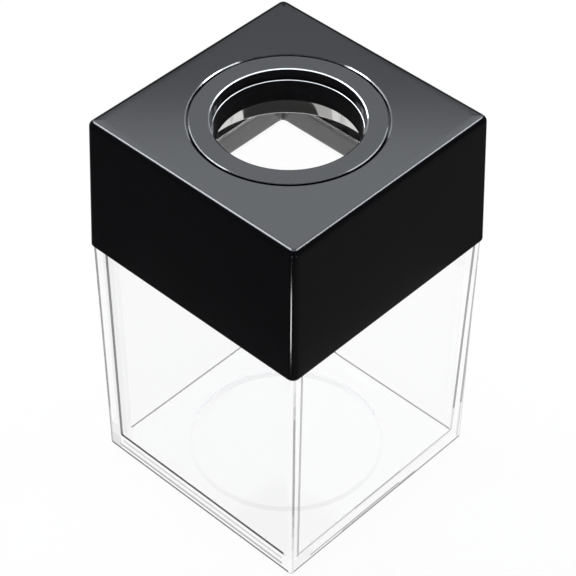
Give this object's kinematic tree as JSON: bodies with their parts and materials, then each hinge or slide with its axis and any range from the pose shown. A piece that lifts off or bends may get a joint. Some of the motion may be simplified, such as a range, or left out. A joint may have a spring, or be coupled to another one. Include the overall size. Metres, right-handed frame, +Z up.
{
  "type": "magnetic paper clip holder",
  "caption": "Square clear box for paper clips under a deep black lift-off lid, with a round mouth and a ring magnet below it that draws clips up.",
  "frame": {"origin": "middle of the box's underside, on the surface that the holder stands on", "axes": "+Z up along the holder's height, X and Y square to the sides"},
  "size_m": [0.0438, 0.0438, 0.07],
  "materials": {
    "clear_polystyrene": "clear moulded polystyrene, high gloss",
    "black_plastic": "glossy moulded black",
    "collar_plastic": "semi-gloss moulded black",
    "nickel_plate": "bright nickel plating"
  },
  "bodies": {
    "box": {"clear_box": "clear_polystyrene"},
    "lid": {"lid_cap": "black_plastic", "mouth_collar": "collar_plastic", "ring_magnet": "nickel_plate"}
  },
  "joints": [
    {"name": "lid_lift", "type": "slide", "parent": "box", "child": "lid", "axis": [0, 0, 1], "range_m": [0, 0.03]}
  ]
}
